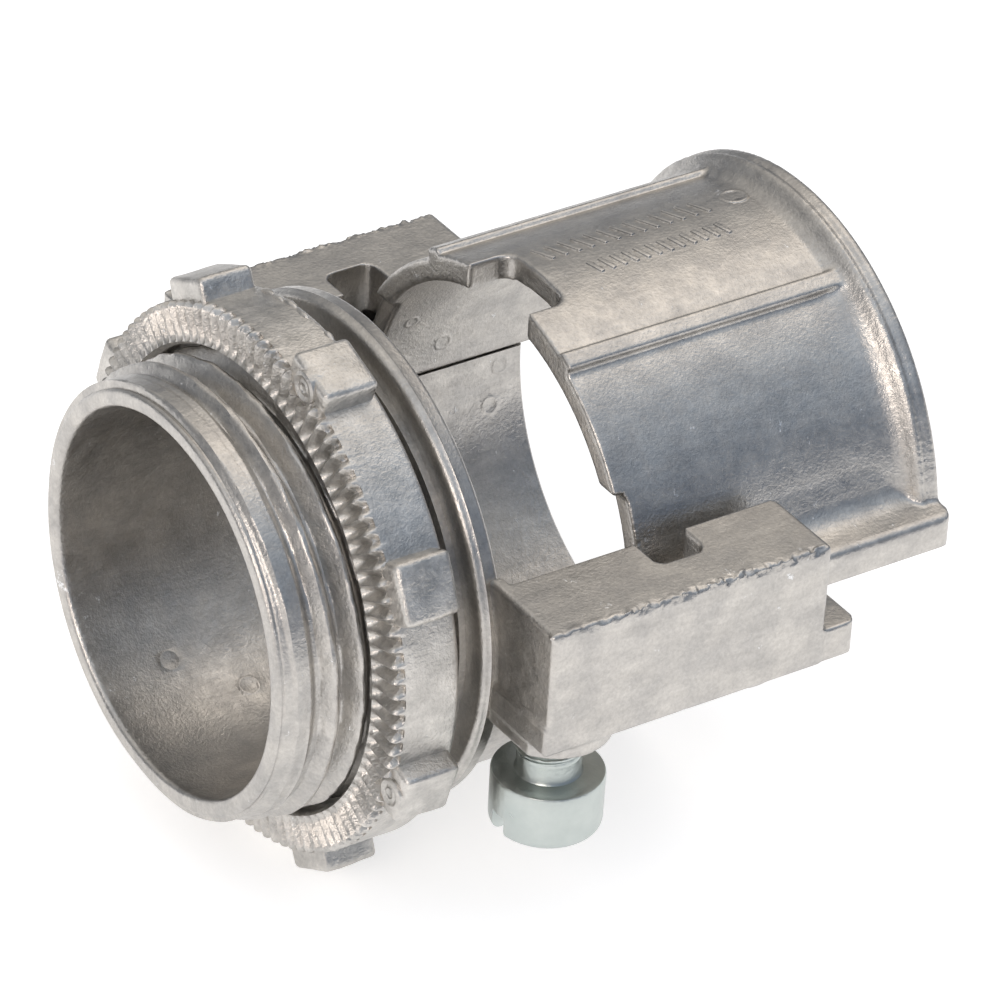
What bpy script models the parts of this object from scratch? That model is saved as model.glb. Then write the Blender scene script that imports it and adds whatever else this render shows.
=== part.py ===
"""Die-cast clamp connector for flexible metal conduit, 3/4 in. trade size.

One collection holds five pieces: the body, the sliding saddle, the locknut and the two clamp screws.
Everything is drawn about the hub axis, which is the X axis of the empty "hub_axis". The hub's mouth is near
x = 0 and the conduit enters from +X. The empty stands the fitting on the ground plane at the world origin.
"""
import math

import bmesh
import bpy
from mathutils import Matrix, Vector

MM = 0.001

# Place of the hub axis over the ground, and of the mouth along X
AXIS_HEIGHT = 17.08 * MM
MOUTH_X = -21.02 * MM

# Fineness of round shapes
ROUND_STEPS = 72
SCREW_STEPS = 32
MERGE = 0.00001

# Threaded hub: 3/4-14 straight pipe thread, 26.67 mm over the crests
BORE_R = 11.38 * MM
END_RING_X = -0.30 * MM
END_RING_R = 12.45 * MM
THREAD_R = 13.335 * MM
THREAD_DEPTH = 1.05 * MM
THREAD_PITCH = 1.814 * MM
THREAD_START_X = 2.40 * MM
THREAD_TURNS = 5
NECK_R = 13.40 * MM
NECK_LENGTH = 0.50 * MM

# Flange, which bears on the box wall
FLANGE_FRONT_X = 11.35 * MM
FLANGE_BACK_X = 12.89 * MM
FLANGE_R = 15.12 * MM
FLANGE_EDGE = 0.45 * MM

# Lower half of the conduit socket
SOCKET_R = 13.00 * MM
CONDUIT_STOP_X = 12.70 * MM
SLEEVE_R = 14.07 * MM
SLEEVE_END_X = 32.70 * MM
SLEEVE_TOP_Z = 0.0

# Side blocks, mirrored about the plane y = 0
BLOCK_FRONT_X = 12.15 * MM
BLOCK_REAR_X = 30.80 * MM
BLOCK_OUTER_Y = 20.55 * MM
BLOCK_INNER_Y = 15.00 * MM
BLOCK_TOP_Z = 5.89 * MM
BLOCK_BOTTOM_Z = -2.17 * MM
BLOCK_EDGE = 0.35 * MM
RAIL_WALL_Y = 17.40 * MM
RAIL_ROOF_Z = 2.65 * MM
NOTCH_FRONT_X = 21.20 * MM
NOTCH_REAR_X = 24.50 * MM
TAIL_END_X = 33.20 * MM
TAIL_EDGE = 0.7 * MM
ROUT_START_X = 12.95 * MM

# Clamp screws: 8-32 fillister head, with their bosses under the blocks
SCREW_X = 15.00 * MM
SCREW_Y = 16.80 * MM
BOSS_R = 3.50 * MM
BOSS_BOTTOM_Z = -3.10 * MM
SCREW_HOLE_R = 2.40 * MM
SCREW_HOLE_TOP_Z = 3.00 * MM
SCREW_MAJOR_R = 2.083 * MM
SCREW_MINOR_R = 1.66 * MM
SCREW_NECK_R = 1.85 * MM
SCREW_PITCH = 0.794 * MM
SCREW_RIDGES = 4
SCREW_HEAD_R = 3.27 * MM
SCREW_HEAD_TOP_Z = -5.98 * MM
SCREW_HEAD_HEIGHT = 3.62 * MM
SCREW_HEAD_EDGE = 0.65 * MM
SCREW_TIP_Z = -1.22 * MM
SLOT_WIDTH = 1.15 * MM
SLOT_DEPTH = 1.45 * MM

# Saddle: the upper half of the socket, with two rail beads along its lower edges
SADDLE_FRONT_X = 21.50 * MM
SADDLE_REAR_X = 42.34 * MM
SADDLE_R = 14.35 * MM
SADDLE_BOTTOM_Z = 0.35 * MM
SADDLE_STEP_X = 22.30 * MM
SADDLE_STEP_Z = 7.30 * MM
RIM_FRONT_X = 40.96 * MM
RIM_R = 15.68 * MM
RIM_FILLET = 1.30 * MM
CROWN_R = 14.58 * MM
CROWN_HALF_WIDTH = 7.00 * MM
RIB_TOP_R = 14.92 * MM
RIB_WIDTH = 1.00 * MM
RIB_END_X = 40.80 * MM
WINDOW_HALF_WIDTH = 2.95 * MM
WINDOW_REAR_X = 24.20 * MM
WINDOW_CORNER = 0.90 * MM
BEAD_OUTER_Y = 16.95 * MM
BEAD_SECTION = (
    (13.30 * MM, 0.10 * MM),
    (16.95 * MM, 0.10 * MM),
    (16.95 * MM, 1.75 * MM),
    (16.50 * MM, 2.20 * MM),
    (15.20 * MM, 2.35 * MM),
    (14.40 * MM, 2.90 * MM),
    (13.70 * MM, 3.90 * MM),
)

# Locknut
NUT_FRONT_X = 4.85 * MM
NUT_BACK_X = 9.22 * MM
NUT_BORE_R = 13.66 * MM
NUT_R = 16.20 * MM
NUT_EDGE = 0.55 * MM
LUG_COUNT = 8
LUG_PHASE = math.radians(18.34)
LUG_FRONT_X = 5.37 * MM
LUG_BACK_X = 8.94 * MM
LUG_TOP_R = 17.49 * MM
LUG_WIDTH = 3.83 * MM
LUG_EDGE = 0.40 * MM

# Reach of a cutter past the face it opens
OVERCUT = 1.0 * MM

# The turned shapes are drawn about Z, and this turns that axis onto the hub's X axis
LAY_ALONG_X = Matrix.Rotation(math.radians(90), 4, "Y")


def clear_scene():
    for obj in list(bpy.data.objects):
        bpy.data.objects.remove(obj, do_unlink=True)


def new_collection(name):
    collection = bpy.data.collections.new(name)
    bpy.context.scene.collection.children.link(collection)
    return collection


def metal(name, colour, roughness):
    material = bpy.data.materials.new(name)
    material.use_nodes = True
    shader = material.node_tree.nodes["Principled BSDF"]
    shader.inputs["Base Color"].default_value = (*colour, 1.0)
    shader.inputs["Metallic"].default_value = 1.0
    shader.inputs["Roughness"].default_value = roughness
    return material


def object_from_bmesh(bm, name, collection):
    mesh = bpy.data.meshes.new(name)
    bm.to_mesh(mesh)
    bm.free()
    obj = bpy.data.objects.new(name, mesh)
    collection.objects.link(obj)
    return obj


def as_tool(obj):
    obj.hide_render = True
    obj.display_type = "WIRE"
    return obj


def turned(name, collection, profile, steps, lay_along_x=True):
    """Ring or rod from a closed profile of (radius, height) points, the outer side running downwards."""
    bm = bmesh.new()
    corners = [bm.verts.new((radius, 0.0, height)) for radius, height in profile]
    touches_axis = profile[0][0] < MERGE and profile[-1][0] < MERGE
    for first, second in zip(corners, corners[1:]):
        bm.edges.new((first, second))
    if not touches_axis:
        bm.edges.new((corners[-1], corners[0]))
    obj = object_from_bmesh(bm, name, collection)
    screw = obj.modifiers.new("turn", "SCREW")
    screw.axis = "Z"
    screw.steps = steps
    screw.render_steps = steps
    screw.use_merge_vertices = True
    screw.merge_threshold = MERGE
    screw.use_smooth_shade = True
    bake(obj)
    if lay_along_x:
        obj.data.transform(LAY_ALONG_X)
    return obj


def along_x(profile):
    """Turn (x, radius) points, listed with x falling on the outer side, into a turned profile."""
    return [(radius, x) for x, radius in profile]


def box(name, collection, low, high, edge=0.0, edge_axis=None):
    """Box between two corners; edge rounds every edge, or only those along edge_axis."""
    bm = bmesh.new()
    size = Vector(high) - Vector(low)
    middle = (Vector(high) + Vector(low)) / 2
    place = Matrix.Translation(middle) @ Matrix.Diagonal((*size, 1.0))
    bmesh.ops.create_cube(bm, size=1.0, matrix=place)
    if edge:
        chosen = [e for e in bm.edges if edge_axis is None or runs_along(e, edge_axis)]
        bmesh.ops.bevel(bm, geom=chosen, offset=edge, segments=2, profile=0.5, affect="EDGES", material=-1)
    return object_from_bmesh(bm, name, collection)


def runs_along(edge, axis):
    along = (edge.verts[1].co - edge.verts[0].co).normalized()
    return abs(along[axis]) > 0.99


def rod(name, collection, radius, centre, bottom_z, top_z, steps):
    bm = bmesh.new()
    place = Matrix.Translation((centre[0], centre[1], (bottom_z + top_z) / 2))
    bmesh.ops.create_cone(bm, cap_ends=True, segments=steps, radius1=radius, radius2=radius,
                          depth=top_z - bottom_z, matrix=place)
    return object_from_bmesh(bm, name, collection)


def extruded_along_x(name, collection, section, start_x, end_x, side):
    """Bar with a (y, z) section, on the side y < 0 (side = -1) or y > 0 (side = 1)."""
    bm = bmesh.new()
    outline = [bm.verts.new((start_x, side * y, z)) for y, z in section]
    face = bm.faces.new(outline)
    grown = bmesh.ops.extrude_face_region(bm, geom=[face])
    moved = [item for item in grown["geom"] if isinstance(item, bmesh.types.BMVert)]
    bmesh.ops.translate(bm, verts=moved, vec=(end_x - start_x, 0.0, 0.0))
    bmesh.ops.recalc_face_normals(bm, faces=bm.faces)
    return object_from_bmesh(bm, name, collection)


def combine(obj, tool, operation):
    as_tool(tool)
    modifier = obj.modifiers.new(operation.lower() + "_" + tool.name, "BOOLEAN")
    modifier.operation = operation
    modifier.solver = "EXACT"
    modifier.object = tool


def bake(obj):
    """Replace an object's mesh by its evaluated one and drop its modifiers."""
    graph = bpy.context.evaluated_depsgraph_get()
    mesh = bpy.data.meshes.new_from_object(obj.evaluated_get(graph))
    obj.modifiers.clear()
    obj.data = mesh


def finish_part(obj, material, anchor):
    obj.data.materials.clear()
    obj.data.materials.append(material)
    obj.data.shade_smooth()
    obj.data.set_sharp_from_angle(angle=math.radians(35))
    obj.parent = anchor


def thread_profile():
    """Points (x, radius) of the hub's thread crests and roots, from the flange side to the mouth side."""
    points = []
    for turn in reversed(range(THREAD_TURNS)):
        crest_x = THREAD_START_X + turn * THREAD_PITCH
        points.append((crest_x + 0.50 * THREAD_PITCH, THREAD_R - THREAD_DEPTH))
        points.append((crest_x + 0.08 * THREAD_PITCH, THREAD_R))
        points.append((crest_x - 0.08 * THREAD_PITCH, THREAD_R))
    points.append((THREAD_START_X - 0.50 * THREAD_PITCH, THREAD_R - 0.45 * THREAD_DEPTH))
    return points


def hub_flange_and_sleeve(parts):
    """Threaded hub, flange and socket sleeve as one turned ring, with the conduit's stop inside the flange."""
    outer = [
        (SLEEVE_END_X, SLEEVE_R),
        (FLANGE_BACK_X, SLEEVE_R),
        (FLANGE_BACK_X, FLANGE_R - FLANGE_EDGE),
        (FLANGE_BACK_X - FLANGE_EDGE, FLANGE_R),
        (FLANGE_FRONT_X + FLANGE_EDGE, FLANGE_R),
        (FLANGE_FRONT_X, FLANGE_R - FLANGE_EDGE),
        (FLANGE_FRONT_X, NECK_R),
        (FLANGE_FRONT_X - NECK_LENGTH, NECK_R),
    ]
    mouth = [
        (END_RING_X + 0.35 * MM, END_RING_R),
        (END_RING_X, END_RING_R),
        (END_RING_X, BORE_R + 0.35 * MM),
        (END_RING_X + 0.40 * MM, BORE_R),
        (CONDUIT_STOP_X, BORE_R),
        (CONDUIT_STOP_X, SOCKET_R),
        (SLEEVE_END_X, SOCKET_R),
    ]
    return turned("body", parts, along_x(outer + thread_profile() + mouth), ROUND_STEPS)


def make_body(parts, tools):
    body = hub_flange_and_sleeve(parts)
    for side, label in ((-1, "near"), (1, "far")):
        add_block(body, tools, side, label)
    channel_top = FLANGE_R + OVERCUT
    channel_section = (
        (-RAIL_WALL_Y, SLEEVE_TOP_Z),
        (RAIL_WALL_Y, SLEEVE_TOP_Z),
        (RAIL_WALL_Y, RAIL_ROOF_Z),
        (BLOCK_INNER_Y, RAIL_ROOF_Z),
        (BLOCK_INNER_Y, channel_top),
        (-BLOCK_INNER_Y, channel_top),
        (-BLOCK_INNER_Y, RAIL_ROOF_Z),
        (-RAIL_WALL_Y, RAIL_ROOF_Z),
    )
    channel = extruded_along_x("saddle_channel", tools, channel_section, ROUT_START_X, TAIL_END_X + OVERCUT, 1)
    combine(body, channel, "DIFFERENCE")
    notch_half_width = RAIL_WALL_Y - 0.03 * MM
    notch = box("bypass_notch", tools, (NOTCH_FRONT_X, -notch_half_width, SLEEVE_TOP_Z + OVERCUT),
                (NOTCH_REAR_X, notch_half_width, BLOCK_TOP_Z + OVERCUT))
    combine(body, notch, "DIFFERENCE")
    for side, label in ((-1, "near"), (1, "far")):
        hole = rod("screw_hole_" + label, tools, SCREW_HOLE_R, (SCREW_X, side * SCREW_Y),
                   BOSS_BOTTOM_Z - OVERCUT, SCREW_HOLE_TOP_Z, SCREW_STEPS)
        combine(body, hole, "DIFFERENCE")
    bake(body)
    return body


def add_block(body, tools, side, label):
    """One side block: the main block, its ledge that runs on as a tail, and the screw's boss."""
    def span(inner, outer):
        return (min(side * inner, side * outer), max(side * inner, side * outer))

    low_y, high_y = span(BLOCK_INNER_Y - OVERCUT, BLOCK_OUTER_Y)
    block = box("block_" + label, tools, (BLOCK_FRONT_X, low_y, BLOCK_BOTTOM_Z),
                (BLOCK_REAR_X, high_y, BLOCK_TOP_Z), edge=BLOCK_EDGE)
    combine(body, block, "UNION")
    low_y, high_y = span(SOCKET_R + 0.55 * MM, BLOCK_OUTER_Y - 0.02 * MM)
    ledge = box("ledge_" + label, tools, (BLOCK_FRONT_X + 0.1 * MM, low_y, BLOCK_BOTTOM_Z + 0.02 * MM),
                (TAIL_END_X, high_y, SLEEVE_TOP_Z + 0.5 * MM), edge=TAIL_EDGE, edge_axis=2)
    combine(body, ledge, "UNION")
    # past the block's rear face the tail's top is lowered to the rail's level
    low_y, high_y = span(SOCKET_R + 0.5 * MM, BLOCK_OUTER_Y + OVERCUT)
    tail_top = box("tail_top_" + label, tools, (BLOCK_REAR_X + 0.01 * MM, low_y, SLEEVE_TOP_Z),
                   (TAIL_END_X + OVERCUT, high_y, SLEEVE_TOP_Z + 3.0 * MM))
    combine(body, tail_top, "DIFFERENCE")
    boss = rod("boss_" + label, tools, BOSS_R, (SCREW_X, side * SCREW_Y), BOSS_BOTTOM_Z,
               BLOCK_BOTTOM_Z + 1.2 * MM, SCREW_STEPS)
    low_y, high_y = span(SCREW_Y - BOSS_R - OVERCUT, SCREW_Y + BOSS_R + OVERCUT)
    face = box("boss_front_" + label, tools, (BLOCK_FRONT_X - 4.0 * MM, low_y, BOSS_BOTTOM_Z - OVERCUT),
               (BLOCK_FRONT_X + 0.05 * MM, high_y, BLOCK_BOTTOM_Z + 3.0 * MM))
    combine(boss, face, "DIFFERENCE")
    bake(boss)
    combine(body, boss, "UNION")


def make_saddle(parts, tools):
    """Upper half shell with its rear rim, crown panel, ribs, rail beads and front window."""
    shell_profile = [
        (SADDLE_REAR_X, RIM_R - 0.3 * MM),
        (SADDLE_REAR_X - 0.3 * MM, RIM_R),
        (RIM_FRONT_X + 0.2 * MM, RIM_R),
        (RIM_FRONT_X, RIM_R - 0.2 * MM),
        (RIM_FRONT_X - 0.20 * RIM_FILLET, SADDLE_R + 0.62 * RIM_FILLET),
        (RIM_FRONT_X - 0.75 * RIM_FILLET, SADDLE_R + 0.20 * RIM_FILLET),
        (RIM_FRONT_X - 1.60 * RIM_FILLET, SADDLE_R),
        (SADDLE_FRONT_X, SADDLE_R),
        (SADDLE_FRONT_X, SOCKET_R),
        (SADDLE_REAR_X, SOCKET_R),
    ]
    saddle = turned("saddle", parts, along_x(shell_profile), ROUND_STEPS)
    crown_profile = [
        (RIB_END_X, CROWN_R),
        (SADDLE_FRONT_X + 0.01 * MM, CROWN_R),
        (SADDLE_FRONT_X + 0.01 * MM, SADDLE_R - 0.4 * MM),
        (RIB_END_X, SADDLE_R - 0.4 * MM),
    ]
    crown = turned("crown_panel", tools, along_x(crown_profile), ROUND_STEPS)
    crown_limit = box("crown_limit", tools, (SADDLE_FRONT_X - OVERCUT, -CROWN_HALF_WIDTH, 0.0),
                      (SADDLE_REAR_X, CROWN_HALF_WIDTH, RIM_R))
    combine(crown, crown_limit, "INTERSECT")
    bake(crown)
    combine(saddle, crown, "UNION")
    rib_angle = math.asin(CROWN_HALF_WIDTH / RIB_TOP_R)
    for side, label in ((-1, "near"), (1, "far")):
        rib = box("rib_" + label, tools, (SADDLE_FRONT_X + 0.02 * MM, -RIB_WIDTH / 2, SADDLE_R - 0.6 * MM),
                  (RIB_END_X, RIB_WIDTH / 2, RIB_TOP_R))
        rib.data.transform(Matrix.Rotation(-side * rib_angle, 4, "X"))
        combine(saddle, rib, "UNION")
        bead = extruded_along_x("bead_" + label, tools, BEAD_SECTION, SADDLE_STEP_X,
                                SADDLE_REAR_X - 0.02 * MM, side)
        combine(saddle, bead, "UNION")
    lower_half = box("saddle_parting", tools, (SADDLE_FRONT_X - OVERCUT, -BEAD_OUTER_Y - OVERCUT, -RIM_R - OVERCUT),
                     (SADDLE_REAR_X + OVERCUT, BEAD_OUTER_Y + OVERCUT, SADDLE_BOTTOM_Z))
    combine(saddle, lower_half, "DIFFERENCE")
    for side, label in ((-1, "near"), (1, "far")):
        ends = sorted((side * (SOCKET_R - 5.0 * MM), side * (BEAD_OUTER_Y + OVERCUT)))
        step = box("front_step_" + label, tools, (SADDLE_FRONT_X - OVERCUT, ends[0], -OVERCUT),
                   (SADDLE_STEP_X, ends[1], SADDLE_STEP_Z))
        combine(saddle, step, "DIFFERENCE")
    window = box("front_window", tools, (SADDLE_FRONT_X - 3 * OVERCUT, -WINDOW_HALF_WIDTH, SOCKET_R - 4.0 * MM),
                 (WINDOW_REAR_X, WINDOW_HALF_WIDTH, RIM_R + OVERCUT), edge=WINDOW_CORNER, edge_axis=2)
    combine(saddle, window, "DIFFERENCE")
    bake(saddle)
    return saddle


def make_locknut(parts, tools):
    """Ring with eight square lugs for a driver or pliers."""
    ring_profile = [
        (NUT_BACK_X, NUT_R - NUT_EDGE),
        (NUT_BACK_X - NUT_EDGE, NUT_R),
        (NUT_FRONT_X + NUT_EDGE, NUT_R),
        (NUT_FRONT_X, NUT_R - NUT_EDGE),
        (NUT_FRONT_X, NUT_BORE_R + 0.25 * MM),
        (NUT_FRONT_X + 0.25 * MM, NUT_BORE_R),
        (NUT_BACK_X - 0.25 * MM, NUT_BORE_R),
        (NUT_BACK_X, NUT_BORE_R + 0.25 * MM),
    ]
    nut = turned("locknut", parts, along_x(ring_profile), ROUND_STEPS)
    for lug_index in range(LUG_COUNT):
        lug = box("lug_%d" % (lug_index + 1), tools, (LUG_FRONT_X, -LUG_WIDTH / 2, NUT_R - 1.1 * MM),
                  (LUG_BACK_X, LUG_WIDTH / 2, LUG_TOP_R), edge=LUG_EDGE)
        turn = LUG_PHASE + lug_index * 2 * math.pi / LUG_COUNT - math.pi / 2
        lug.data.transform(Matrix.Rotation(turn, 4, "X"))
        combine(nut, lug, "UNION")
    bake(nut)
    return nut


def make_screw(parts, tools, side, label):
    """Slotted fillister head screw, drawn about its own axis with its head down."""
    ridges = []
    for ridge in range(SCREW_RIDGES):
        crest_z = SCREW_TIP_Z - (ridge + 0.6) * SCREW_PITCH
        ridges.append((SCREW_MAJOR_R, crest_z + 0.10 * SCREW_PITCH))
        ridges.append((SCREW_MAJOR_R, crest_z - 0.10 * SCREW_PITCH))
        ridges.append((SCREW_MINOR_R, crest_z - 0.50 * SCREW_PITCH))
    head_bottom = SCREW_HEAD_TOP_Z - SCREW_HEAD_HEIGHT
    profile = [(0.0, SCREW_TIP_Z), (SCREW_MINOR_R, SCREW_TIP_Z)] + ridges + [
        (SCREW_NECK_R, ridges[-1][1] - 0.1 * MM),
        (SCREW_NECK_R, SCREW_HEAD_TOP_Z),
        (SCREW_HEAD_R - 0.15 * MM, SCREW_HEAD_TOP_Z),
        (SCREW_HEAD_R, SCREW_HEAD_TOP_Z - 0.15 * MM),
        (SCREW_HEAD_R, head_bottom + SCREW_HEAD_EDGE),
        (SCREW_HEAD_R - 0.3 * SCREW_HEAD_EDGE, head_bottom + 0.3 * SCREW_HEAD_EDGE),
        (SCREW_HEAD_R - SCREW_HEAD_EDGE, head_bottom + 0.08 * MM),
        (0.0, head_bottom),
    ]
    screw = turned("clamp_screw_" + label, parts, profile, SCREW_STEPS, lay_along_x=False)
    slot = box("slot_" + label, tools, (-SCREW_HEAD_R - OVERCUT, -SLOT_WIDTH / 2, head_bottom - OVERCUT),
               (SCREW_HEAD_R + OVERCUT, SLOT_WIDTH / 2, head_bottom + SLOT_DEPTH))
    combine(screw, slot, "DIFFERENCE")
    bake(screw)
    screw.location = (SCREW_X, side * SCREW_Y, 0.0)
    return screw


def main():
    clear_scene()
    parts = new_collection("clamp_connector")
    tools = new_collection("cutters")
    hub_axis = bpy.data.objects.new("hub_axis", None)
    hub_axis.location = (MOUTH_X, 0.0, AXIS_HEIGHT)
    parts.objects.link(hub_axis)

    zinc = metal("die_cast_zinc", (0.52, 0.53, 0.54), 0.42)
    nut_zinc = metal("die_cast_zinc_locknut", (0.50, 0.50, 0.50), 0.46)
    plated = metal("zinc_plated_steel", (0.72, 0.74, 0.72), 0.24)

    finish_part(make_body(parts, tools), zinc, hub_axis)
    finish_part(make_saddle(parts, tools), zinc, hub_axis)
    finish_part(make_locknut(parts, tools), nut_zinc, hub_axis)
    finish_part(make_screw(parts, tools, -1, "near"), plated, hub_axis)
    finish_part(make_screw(parts, tools, 1, "far"), plated, hub_axis)
    for tool in tools.objects:
        as_tool(tool)


main()
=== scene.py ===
"""Studio view of a die-cast clamp connector for flexible conduit, 3/4 in. trade size.

Lengths in the modelling functions are millimetres in the hub's own frame: x runs from the threaded mouth
towards the conduit along the bore's axis, y across the side blocks and z up. finish_piece puts a finished
mesh into the row frame in metres.
"""
import math

import bmesh
import bpy
from mathutils import Matrix, Vector, noise


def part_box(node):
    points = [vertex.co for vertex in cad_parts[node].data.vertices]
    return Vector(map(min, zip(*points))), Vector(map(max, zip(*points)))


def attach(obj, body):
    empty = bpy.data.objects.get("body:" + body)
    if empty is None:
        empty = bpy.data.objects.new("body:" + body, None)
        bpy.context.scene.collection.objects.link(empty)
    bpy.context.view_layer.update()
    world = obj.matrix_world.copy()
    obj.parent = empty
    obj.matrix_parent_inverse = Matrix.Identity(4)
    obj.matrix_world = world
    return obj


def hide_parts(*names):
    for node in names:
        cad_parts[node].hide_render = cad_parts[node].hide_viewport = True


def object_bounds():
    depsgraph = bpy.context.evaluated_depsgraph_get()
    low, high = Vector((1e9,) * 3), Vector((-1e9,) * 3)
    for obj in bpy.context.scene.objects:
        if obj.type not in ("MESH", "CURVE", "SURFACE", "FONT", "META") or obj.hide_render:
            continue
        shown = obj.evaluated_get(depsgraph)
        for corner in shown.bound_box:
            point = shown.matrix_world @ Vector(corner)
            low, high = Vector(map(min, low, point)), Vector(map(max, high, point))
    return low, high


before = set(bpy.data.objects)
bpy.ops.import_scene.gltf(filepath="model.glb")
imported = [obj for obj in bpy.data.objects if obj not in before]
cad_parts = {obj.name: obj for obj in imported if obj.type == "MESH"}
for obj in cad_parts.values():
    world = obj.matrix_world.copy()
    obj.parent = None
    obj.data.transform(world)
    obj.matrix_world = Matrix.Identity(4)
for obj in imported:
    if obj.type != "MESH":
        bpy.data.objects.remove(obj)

cad_low, cad_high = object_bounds()

MM = 0.001
FULL_TURN = 2 * math.pi

# The hub's axis runs through the locknut's centre, and x = 0 lies 0.3 mm inside the mouth's end face
body_low, body_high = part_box("body")
nut_low, nut_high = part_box("locknut")
HUB = Vector((body_low[0] + 0.30 * MM, 0.0, (nut_low[2] + nut_high[2]) / 2))
INTO_ROW_FRAME = Matrix.Translation(HUB) @ Matrix.Scale(MM, 4)

# Hub thread, 3/4-14 straight pipe thread
BORE_R = 11.38
THREAD_PITCH = 1.814
CREST_R = 13.335
ROOT_R = 12.30
FIRST_CREST_X = 2.029
CREST_HALF_WIDTH = 0.13
FLANK_SLOPE = 1.55
LEAD_IN_R = 12.90
LEAD_IN_MOUTH_R = 12.50
LEAD_IN_END_X = 1.5
HUB_END_X = 11.60

# Flange and lower half of the socket
FLANGE_FRONT_X = 11.35
NECK_START_X = 10.85
NECK_R = 13.38
FLANGE_BACK_X = 12.89
FLANGE_R = 15.12
SOCKET_R = 13.00
SLEEVE_R = 14.07
SLEEVE_END_X = 32.70

# Side blocks
BLOCK_FRONT_X = 12.15
BLOCK_REAR_X = 30.80
BLOCK_INNER_Y = 15.00
BLOCK_OUTER_Y = 20.50
BLOCK_TOP_Z = 5.85
BLOCK_BOTTOM_Z = -2.17
RAIL_WALL_Y = 17.40
RAIL_ROOF_Z = 2.65
TAIL_END_X = 33.20
GROOVE_FRONT_X = 12.95
NOTCH_FRONT_X = 21.20
NOTCH_REAR_X = 24.50
NOTCH_FLOOR_Z = 1.20
SCREW_X = 15.00
SCREW_Y = 16.80
SCREW_HOLE_R = 2.40
SCREW_HOLE_TOP_Z = 3.00
BOSS_R = 3.50
BOSS_BOTTOM_Z = -3.10
PAD_X = 26.60
PAD_Y = 18.50
PAD_R = 1.70
BLOCK_VOXEL = 0.15

# Saddle
SADDLE_FRONT_X = 21.50
SADDLE_REAR_X = 42.30
SADDLE_R = 14.35
SADDLE_BOTTOM_Z = 0.12
CROWN_R = 14.58
RIB_TOP_R = 14.95
RIM_FRONT_X = 40.96
RIM_R = 15.66
CROWN_HALF_WIDTH = 7.00
RIB_Y = 6.85
RIB_HALF_WIDTH = 0.55
BEAD_FRONT_X = 22.30
BEAD_OUTER_Y = 16.95
STEP_TOP_Z = 7.30
WINDOW_HALF_WIDTH = 2.95
WINDOW_REAR_X = 24.20
SADDLE_VOXEL = 0.16

# Rows of dashes on the crown: degrees about the bore, first x, last x, how many, length
DASH_ROWS = [(83.6, 25.6, 36.4, 13, 1.7), (94.0, 27.4, 36.2, 12, 1.2)]
DASH_HALF_WIDTH = 0.15
DASH_LEAN = 0.30

# Ejector-pin rings: x, degrees about the bore, surface radius, ring radius, 1 outside or -1 inside
HUB_PINS = [(8.38, 289.6, BORE_R, 0.60, -1), (4.60, 304.9, BORE_R, 0.60, -1)]
SLEEVE_PINS = [(31.14, 356.0, SOCKET_R, 0.50, -1), (30.32, 345.5, SOCKET_R, 0.50, -1)]
SADDLE_PINS = [(38.9, 83.0, CROWN_R, 0.75, 1), (26.84, 9.2, SOCKET_R, 0.50, -1),
               (24.07, 21.1, SOCKET_R, 0.40, -1)]

# Locknut
TOOTH_COUNT = 105
TOOTH_DEPTH = 0.56
STEPS_PER_TOOTH = 8
NUT_FRONT_X = 4.87
NUT_BACK_X = 9.20
NUT_R = 16.15
NUT_FACE_R = 13.85
LUG_COUNT = 8
LUG_PHASE = math.radians(18.34)
LUG_FRONT_X = 5.40
LUG_BACK_X = 8.92
LUG_HALF_WIDTH = 1.90
LUG_BASE_R = 15.25
LUG_TOP_R = 17.35

# Two lugs carry a round pin mark, sunk through the teeth: (x from the lug's front, radius) outlines
MARKED_LUGS = (2, 4)
PIN_MARK_R = 16.38
PIN_RECESS = [(-1.40, 0.0), (-1.40, 1.06), (-0.12, 1.06), (-0.12, 0.0)]
PIN_MARK = [(-0.14, 0.0), (-0.15, 0.24), (-0.20, 0.32), (-0.14, 0.42), (-0.14, 0.60), (-0.24, 0.72),
            (-0.24, 0.82), (-0.14, 0.96), (0.60, 1.00), (0.60, 0.0)]

# Lumps of flash on the ring's rear edge: x, degrees about the axis, radius
FLASH_LUMPS = ((8.75, 88.0, 0.26), (8.85, 83.0, 0.30), (8.70, 79.5, 0.22), (8.80, 75.0, 0.28),
               (8.90, 97.0, 0.20))

# Clamp screws, 8-32
SCREW_HEAD_R = 3.26
SCREW_HEAD_HEIGHT = 3.62
SCREW_PITCH = 0.794
SCREW_MAJOR_R = 2.075
SCREW_MINOR_R = 1.68
SCREW_SHANK_R = 1.85
SLOT_HALF_WIDTH = 0.575
SLOT_DEPTH = 1.45
SLOT_ANGLE = math.radians(89)


# ---------------------------------------------------------------- modelling

def mesh_object(name, bm):
    mesh = bpy.data.meshes.new(name)
    bm.to_mesh(mesh)
    bm.free()
    obj = bpy.data.objects.new(name, mesh)
    bpy.context.scene.collection.objects.link(obj)
    return obj


def apply_modifiers(obj):
    graph = bpy.context.evaluated_depsgraph_get()
    mesh = bpy.data.meshes.new_from_object(obj.evaluated_get(graph))
    obj.modifiers.clear()
    obj.data = mesh


def combine(obj, tool, operation):
    """Cut, join or intersect obj with a tool object, which is used up."""
    boolean = obj.modifiers.new(operation.lower(), "BOOLEAN")
    boolean.operation = operation
    boolean.solver = "EXACT"
    boolean.object = tool
    apply_modifiers(obj)
    bpy.data.objects.remove(tool, do_unlink=True)


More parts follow.
